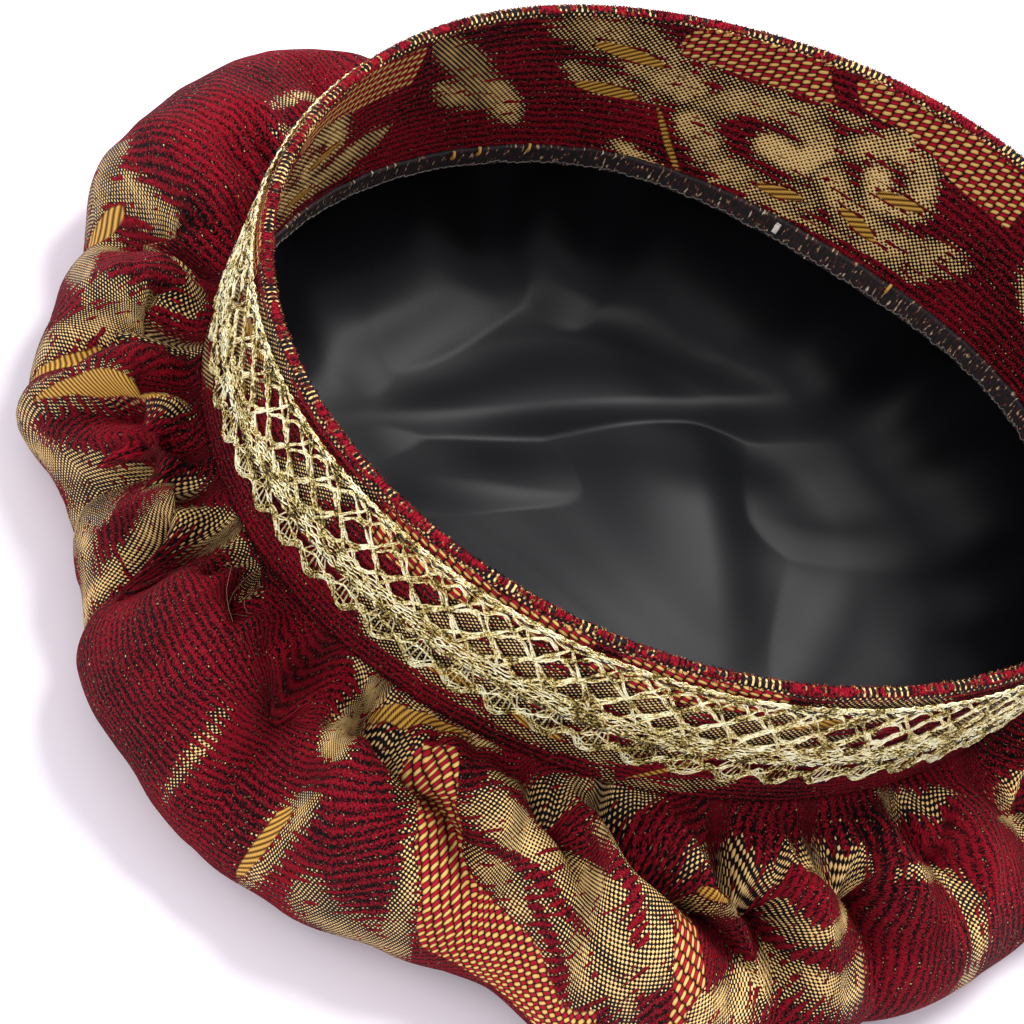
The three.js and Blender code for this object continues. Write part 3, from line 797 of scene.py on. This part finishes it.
# The binding: the raw edges of crown, band and lining are overlocked together inside the cap, along
# the lower edge of the band. Its thread is dark, with bits of red and gold cloth showing, and loops
# of pale thread run along its lower edge.
BINDING_HEIGHT = 5
BINDING_BELOW = 0.6
BINDING_WALL = 0.7
BINDING_OUT = -0.9
BINDING_ROWS = 9
BINDING_RIPPLE = {"high": 0.15, "seed": 21, "waves": 6, "turns": (20, 70), "slant": 0.1}
LOOPS = 285
LOOP_POINTS = 6
LOOP_RADIUS = 0.16
LOOP_HIGH = 0.9
LOOP_LOW = -0.2
LOOP_PROUD = 0.35
LOOP_RIPPLE = {"high": 0.25, "seed": 22, "waves": 8, "turns": (30, 120), "slant": 0}


def thread_piece(name, routes, radius, material, closed=True):
    """A mesh of round threads along these routes, given in millimetres."""
    line = bpy.data.curves.new(name, "CURVE")
    line.dimensions = "3D"
    line.bevel_depth = radius * MM
    line.bevel_resolution = 0
    for route in routes:
        spline = line.splines.new("POLY")
        spline.points.add(len(route) - 1)
        places = np.concatenate([route * MM, np.ones((len(route), 1))], -1)
        spline.points.foreach_set("co", places.ravel())
        spline.use_cyclic_u = closed
    wire = bpy.data.objects.new(name + " route", line)
    mesh = bpy.data.meshes.new_from_object(wire)
    bpy.data.objects.remove(wire)
    bpy.data.curves.remove(line)
    mesh.name = name
    mesh.materials.clear()
    mesh.materials.append(material)
    mesh.shade_smooth()
    made = bpy.data.objects.new(name, mesh)
    bpy.context.scene.collection.objects.link(made)
    return made


# Overlock stitches are matt, and lie side by side across the edge, STITCH_PITCH apart.
STITCH_PITCH = 1.1
overlock, tree = finish("overlocked edge")
sheet = add(tree, "VectorMath", {0: add(tree, "UVMap", uv_map="cloth"), "Scale": 1000.0}, operation="SCALE")
round_way = add(tree, "SeparateXYZ", [sheet]).node.outputs["Y"]
tick = add(tree, "Math", [add(tree, "Math", [round_way, 1 / STITCH_PITCH], operation="MULTIPLY"), 0.5],
           operation="PINGPONG")
stretched = add(tree, "Mapping", {"Vector": sheet, "Scale": (0.5, 1.3, 1)})
bits = add(tree, "TexNoise", {"Vector": stretched, "Scale": 1.0, "Detail": 2.0})
bits = add(tree, "Math", [bits, add(tree, "Math", [tick, 0.16], operation="MULTIPLY")], operation="ADD")
threads = add(tree, "ValToRGB", [bits], stops=[
    (0.0, "#0b0a0c"), (0.56, "#141113"), (0.62, "#4a0e1a"),
    (0.66, "#171315"), (0.7, "#a98a58"), (0.8, "#d8d2cc")])
add(tree, "OutputMaterial", {"Surface": add(tree, "BsdfPrincipled", {
    "Base Color": threads,
    "Roughness": 0.75,
    "Normal": add(tree, "Bump", {"Height": tick, "Strength": 0.6, "Distance": 0.0004}),
})})
sides = np.linspace(-BINDING_BELOW, BINDING_HEIGHT, BINDING_ROWS)
section = [(BINDING_OUT, up) for up in sides]
section += [(BINDING_OUT + BINDING_WALL, up) for up in sides[::-1]]
bm, at, row = wrapped(BAND_COLUMNS, range(len(section)))
out, up = np.array(section)[row.astype(int)].T
plain = {kind: np.zeros_like(at) for kind in ("weave", "floats", "lattice", "gold")}
figured(bm, plain, np.stack([up, np.radians(at) * BAND_ROUND], -1) * MM)
moved(bm, off_band(at, up / BAND_HEIGHT, out + ripples(at, up, BINDING_RIPPLE)))
binding = piece("seam_binding", bm, overlock)
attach(binding, "root")

share = np.arange(LOOPS * LOOP_POINTS) / (LOOPS * LOOP_POINTS)
phase = share * LOOPS * 2 * math.pi
wave = LOOP_LOW + LOOP_HIGH * np.abs(np.sin(phase / 2)) + ripples(share * 360, share, LOOP_RIPPLE)
proud = BINDING_OUT - LOOP_PROUD + 0.2 * np.cos(phase)
route = off_band(share * 360 + 0.35 * np.sin(phase), wave / BAND_HEIGHT, proud)
loops = thread_piece("overlock_loops", [route], LOOP_RADIUS, even("pale overlock thread", "#6b6561", 0.6))
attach(loops, "root")

# Loose ends along the binding: stubs of gold thread and one white scrap of tape, and three fine
# brown hairs of thread on the crown below the lace.
STUBS = [
    {"at": 128.5, "up": 4.4},
    {"at": 124.5, "up": 4.8},
    {"at": 117, "up": 5.2},
    {"at": 60, "up": 4.6},
]
STUB_RISE = np.array([-1.2, -0.4, 0.4, 1.2])
STUB_OUT = np.array([-1.2, -1.6, -1.7, -1.1])
STUB_RADIUS = 0.45
SCRAP = {"at": 79, "up": 3.4}
SCRAP_RISE = np.array([-1.2, -0.2, 0.9])
SCRAP_OUT = np.array([-1.6, -1.8, -1.5])
SCRAP_RADIUS = 0.9
HAIRS = [
    {"at": 222, "run": (3, 19), "turn": 5},
    {"at": 224, "run": (5, 17), "turn": 3},
    {"at": 219.5, "run": (6, 24), "turn": 7},
]
HAIR_POINTS = 12
HAIR_LIFT = (0.8, 2.2)
HAIR_RADIUS = 0.07


def end_route(row, rise, out):
    """The route of a loose end that sticks up from the binding."""
    return off_band(np.full(len(rise), float(row["at"])), (row["up"] + rise) / BAND_HEIGHT, out)


routes = [end_route(row, STUB_RISE, STUB_OUT) for row in STUBS]
gold_thread = even("gold stub thread", "#dba54c", 0.5)
stubs = thread_piece("gold_stubs", routes, STUB_RADIUS, gold_thread, closed=False)
routes = [end_route(SCRAP, SCRAP_RISE, SCRAP_OUT)]
tape = even("white tape", "#ece6df", 0.8)
scrap = thread_piece("white_scrap", routes, SCRAP_RADIUS, tape, closed=False)
routes = []
for row in HAIRS:
    share = np.linspace(0, 1, HAIR_POINTS)
    run = np.linspace(*row["run"], HAIR_POINTS)
    hair = crown_places(row["at"] + row["turn"] * share ** 2, run)
    hair[:, 2] += HAIR_LIFT[0] + HAIR_LIFT[1] * np.sin(math.pi * share)
    routes.append(hair)
brown = even("brown hair of thread", "#8a5a44", 0.6)
hairs = thread_piece("stray_hairs", routes, HAIR_RADIUS, brown, closed=False)
for made in (stubs, scrap, hairs):
    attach(made, "root")

# The lace: a strip of bobbin lace in gold metal thread, sewn round the outside of the band. From
# the top it has a double heading, three rows of open ovals crossed by slanting cords, a dense
# braid, a row of small fans and a scalloped edge. It is laid out by how far down it a thread runs,
# and by turns of a scallop unit, two points each.
LACE_WIDTH = 35
LACE_GAP = 0.5
LACE_DROP = 3.2
LACE_SCALLOPS = 32
SCALLOP_DEPTH = 4.2
THREAD_POINTS = 22
THREAD_RADIUS = 0.2
HEADING_CORDS = (0.2, 0.55, 0.9, 1.25)
SECOND_HEADING = 2.3
NET_CORDS = (5.0, 9.3, 13.6, 17.9)
NET_SWING = 2.0
SLANT_TOP = 2.6
SLANT_DROP = 16
BRAID_TOP = 18.6
BRAID_BOTTOM = 24.6
BRAID_THREADS = 11
FAN_TOP = 25.2
FAN_MIDDLE = 28.6
EDGE_INSETS = (0.1, 0.45, 0.85, 2.5)
LACE_EDGE = table("x y", [
    (0, 1), (0.07, 0.8), (0.16, 0.18), (0.25, 0), (0.34, 0.18), (0.43, 0.8), (0.5, 1),
])

LACE_SEED = 7
WAVER_TURNS = (60, 260)
SIDE_TURNS = (90, 240)
SIDE_WAVER = 0.22
ANY_PHASE = (0, 6.28)

lace_x = np.arange(LACE_SCALLOPS * THREAD_POINTS) / THREAD_POINTS
lace_pick = np.random.default_rng(LACE_SEED)


def lace_thread(down, lift=0.35, wobble=0.16):
    """One thread's route from how far down the lace it runs, with a little waver of its own."""
    turn = lace_x * 2 * math.pi / LACE_SCALLOPS
    waver = np.zeros_like(turn)
    for turns in lace_pick.integers(*WAVER_TURNS, 3):
        waver += np.sin(turns * turn + lace_pick.uniform(*ANY_PHASE)) * wobble
    side = np.sin(lace_pick.integers(*SIDE_TURNS) * turn + lace_pick.uniform(*ANY_PHASE))
    places = 1 - (LACE_DROP + down + waver) / BAND_HEIGHT
    return off_band(lace_x * 360 / LACE_SCALLOPS, places, BAND_WALL + LACE_GAP + lift + SIDE_WAVER * side)


def zigzag(t):
    """Runs evenly from 0 to 1 and back as t goes from one whole number to the next."""
    return 1 - np.abs(2 * (t % 1) - 1)


# Gold metal thread is foil wound round a core. Its glints are painted into its colour as pale half-millimetre
# specks, with painted shade in its folds between them. Patches 4 mm long are brighter or duller.
metal, tree = finish("gold metal thread with painted glints")
where = add(tree, "TexCoord").node.outputs["Object"]
glints = add(tree, "TexNoise", {"Vector": where, "Scale": 1900.0, "Detail": 2.0, "Roughness": 0.7})
patches = add(tree, "TexNoise", {"Vector": where, "Scale": 260.0, "Detail": 2.0})
# The ramp paints the glints near white and the folds between them dark: painted highlight and painted shade
# over the gold.
gilt_and_painted_glints = add(tree, "ValToRGB", [shaken(tree, glints, patches, 0.8)], stops=[
    (0.34, "#33290a"), (0.42, "#ac923e"), (0.5, "#f2dd88"), (0.57, "#fffdd6")])
add(tree, "OutputMaterial", {"Surface": add(tree, "BsdfPrincipled", {
    "Base Color": gilt_and_painted_glints,
    "Metallic": 0.5,
    "Roughness": 0.3,
    "Normal": add(tree, "Bump", {"Height": glints, "Strength": 0.6, "Distance": 0.0002}),
})})


def lace_edge(x):
    """How far up the scalloped edge stands from its lowest line, as a share of its depth."""
    return np.interp(x % 0.5, [row["x"] for row in LACE_EDGE], [row["y"] for row in LACE_EDGE])


edge_down = LACE_WIDTH - lace_edge(lace_x) * SCALLOP_DEPTH
two_waves = 4 * math.pi * lace_x
heading = [lace_thread(down, wobble=0.08) for down in HEADING_CORDS]
heading += [lace_thread(SECOND_HEADING + off + 0.8 * np.cos(two_waves), wobble=0.1) for off in (-0.3, 0, 0.3)]
net = []
for i, down in enumerate(NET_CORDS):
    swing = NET_SWING * np.cos(two_waves + i * math.pi)
    net += [lace_thread(down + swing + off, wobble=0.12) for off in (-0.36, -0.12, 0.12, 0.36)]
slanting = [lace_thread(SLANT_TOP + SLANT_DROP * zigzag(lace_x + start) + off, lift=0.6)
            for start in (0, 0.5) for off in (-0.3, 0.15, 0.4)]
braid = [lace_thread(down + 0.3 * np.sin(2 * math.pi * (3 * lace_x + i / 2)), wobble=0.2)
         for i, down in enumerate(np.linspace(BRAID_TOP, BRAID_BOTTOM, BRAID_THREADS))]
fans = [lace_thread(FAN_TOP + off) for off in (0, 0.35)]
fans += [lace_thread(FAN_MIDDLE + 1.1 * np.cos(two_waves) + off, lift=0.5) for off in (-0.2, 0.2)]
scallops = [lace_thread(edge_down - inset, wobble=0.12) for inset in EDGE_INSETS]
scallops += [lace_thread(edge_down - 0.1 - 2.4 * zigzag(8 * lace_x + start), lift=0.55) for start in (0, 0.5)]
for name, routes in (("lace_heading", heading), ("lace_net", net + slanting), ("lace_braid", braid),
                     ("lace_scallops", fans + scallops)):
    laced = thread_piece(name, routes, THREAD_RADIUS, metal)
    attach(laced, "root")
    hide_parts("lace_trim")

# The ribs of the fans: straight threads that spread from the braid to the scalloped edge.
FAN_RIBS = 6
FAN_SPREAD = 0.2
FAN_GATHERED = 0.35
RIB_POINTS = 4
RIB_WAVER = 0.012
RIB_LIFT = (0.1, 0.7)

ribs = []
for fan in np.arange(2 * LACE_SCALLOPS) / 2 + 0.25:
    for share in np.linspace(-FAN_SPREAD, FAN_SPREAD, FAN_RIBS):
        lowest = LACE_WIDTH - 0.5 - lace_edge(share + 0.25) * SCALLOP_DEPTH
        down = np.linspace(BRAID_BOTTOM - 0.4, lowest, RIB_POINTS)
        spread = np.linspace(FAN_GATHERED, 1, RIB_POINTS) * share
        spread += lace_pick.uniform(-RIB_WAVER, RIB_WAVER, RIB_POINTS)
        lift = BAND_WALL + LACE_GAP + lace_pick.uniform(*RIB_LIFT, RIB_POINTS)
        up = 1 - (LACE_DROP + down) / BAND_HEIGHT
        ribs.append(off_band((fan + spread) * 360 / LACE_SCALLOPS, up, lift))
fanned = thread_piece("lace_fans", ribs, THREAD_RADIUS, metal, closed=False)
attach(fanned, "root")
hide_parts("lace_trim")

# The running stitches: two lines of black thread that hold the lace to the band.
STITCHES = 150
STITCH_SHARE = 0.72
STITCH_RADIUS = 0.14
STITCH_DOWN = (1.5, 24.9)
STITCH_LIFT = np.array([0.2, 0.95, 0.95, 0.2])

routes = []
for down in STITCH_DOWN:
    up = 1 - (LACE_DROP + down) / BAND_HEIGHT
    for i in range(STITCHES):
        share = (i + np.linspace(0, STITCH_SHARE, 4)) / STITCHES
        routes.append(off_band(share * 360, np.full(4, up), STITCH_LIFT + BAND_WALL + LACE_GAP))
black = even("black sewing thread", "#161517", 0.6)
stitches = thread_piece("running_stitches", routes, STITCH_RADIUS, black, closed=False)
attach(stitches, "root")

# The lining: a bag of thin black satin, sewn in along the seam, that lies in soft folds.
LINING_COLUMNS = 360
LINING_ROWS = 120
LINING_GAP = 0.6
LINING_TOP = SEAM_HEIGHT - 0.4
LINING_BULGE = 3.4
LINING_RUN = 40
LINING_RIPPLE = {"high": 2.8, "seed": 41, "waves": 9, "turns": (4, 24), "slant": 0.03}
LINING_CREASE = 5.5
LINING_WAVE = 1.3
LINING_SMALL_WAVE = 0.35
LINING_FLOOR = 3.3
LINING_SECTION = table("run bulge inner high crease", [
    (0, 0, 0, 1, 0),
    (0.07, 0.6, 0.015, 0.82, 0),
    (0.17, 1, 0.05, 0.56, 0),
    (0.27, 0.9, 0.11, 0.31, 0.15),
    (0.36, 0.6, 0.19, 0.14, 0.5),
    (0.5, 0.1, 0.36, 0.03, 1),
    (0.7, 0, 0.58, 0.02, 1),
    (1, 0, 1, 0.02, 1),
])

# Each crease of the satin: its middle and its half length in half widths of the head opening, the
# way it runs in degrees, its half width on its gentle and on its steep side, and its height.
CREASES = table("x y along long wide steep high", [
    (0.0, 0.4, 27, 0.8, 0.36, 0.1, 1),
    (-0.06, 0.04, 14, 0.6, 0.26, 0.1, 0.55),
    (0.2, 0.05, 104, 0.5, 0.4, 0.14, 0.9),
    (-0.5, 0.6, 75, 0.5, 0.2, 0.2, 0.9),
    (-0.22, 0.75, 100, 0.6, 0.16, 0.14, 0.7),
    (0.0, -0.36, 14, 0.6, 0.3, 0.2, 0.3),
    (-0.66, 0.3, 112, 0.4, 0.16, 0.2, 0.6),
    (0.2, 0.75, 66, 0.5, 0.2, 0.14, 0.9),
])


def crease_height(x, y):
    """Height of the soft creases over the floor of the lining."""
    highest = np.zeros_like(x)
    for row in CREASES:
        a = math.radians(row["along"])
        dx = 2 * x / HEAD_LENGTH - row["x"]
        dy = 2 * y / HEAD_WIDTH - row["y"]
        far = dx * math.cos(a) + dy * math.sin(a)
        side = dy * math.cos(a) - dx * math.sin(a)
        side = np.where(side > 0, side / row["wide"], -side / row["steep"])
        bell = np.exp(-((far / row["long"]) ** 2) - side ** 2)
        highest = np.maximum(highest, row["high"] * bell)
    return highest * LINING_CREASE


bm, at, run = wrapped(LINING_COLUMNS, np.linspace(0, 1, LINING_ROWS))
bulge = along(LINING_SECTION, "bulge", run)
hung = bulge * (LINING_BULGE + ripples(at, run * LINING_RUN, LINING_RIPPLE))
seam = off_band(at, np.zeros_like(at), hung - LINING_GAP)
inner = along(LINING_SECTION, "inner", run)
x = seam[:, 0] * (1 - inner) + SEAM_MIDDLE[0] * inner
y = seam[:, 1] * (1 - inner) + SEAM_MIDDLE[1] * inner
z = LINING_FLOOR + along(LINING_SECTION, "high", run) * (LINING_TOP - LINING_FLOOR)
loose = along(LINING_SECTION, "crease", run)
wide_waves = np.sin(x / 17 + 1.1 * np.sin(y / 21)) * np.sin(y / 13 + 0.8 * np.sin(x / 26 + 1))
small_waves = np.sin(x / 9 + 1.7 * np.sin(y / 14 + 2)) * np.sin(y / 6.5 + np.sin(x / 15))
z += loose * (crease_height(x, y) + LINING_WAVE * (1 + wide_waves) + LINING_SMALL_WAVE * small_waves)
moved(bm, np.stack([x, y, z], -1))

# Black polyester satin: a broad soft gloss, with a twill of threads too fine to see one by one,
# drawn about a millimetre apart.
satin, tree = finish("black satin")
where = add(tree, "TexCoord").node.outputs["Object"]
twill = add(tree, "TexWave", {"Vector": where, "Scale": 900.0, "Distortion": 0.6}, bands_direction="DIAGONAL")
add(tree, "OutputMaterial", {"Surface": add(tree, "BsdfPrincipled", {
    "Base Color": colour("#0b0c0f"),
    "Roughness": 0.42,
    "Specular IOR Level": 0.13,
    "Normal": add(tree, "Bump", {"Height": twill, "Strength": 0.15, "Distance": 0.0001}),
})})
lining = piece("satin_lining", bm, satin)
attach(lining, "root")
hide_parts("lining")
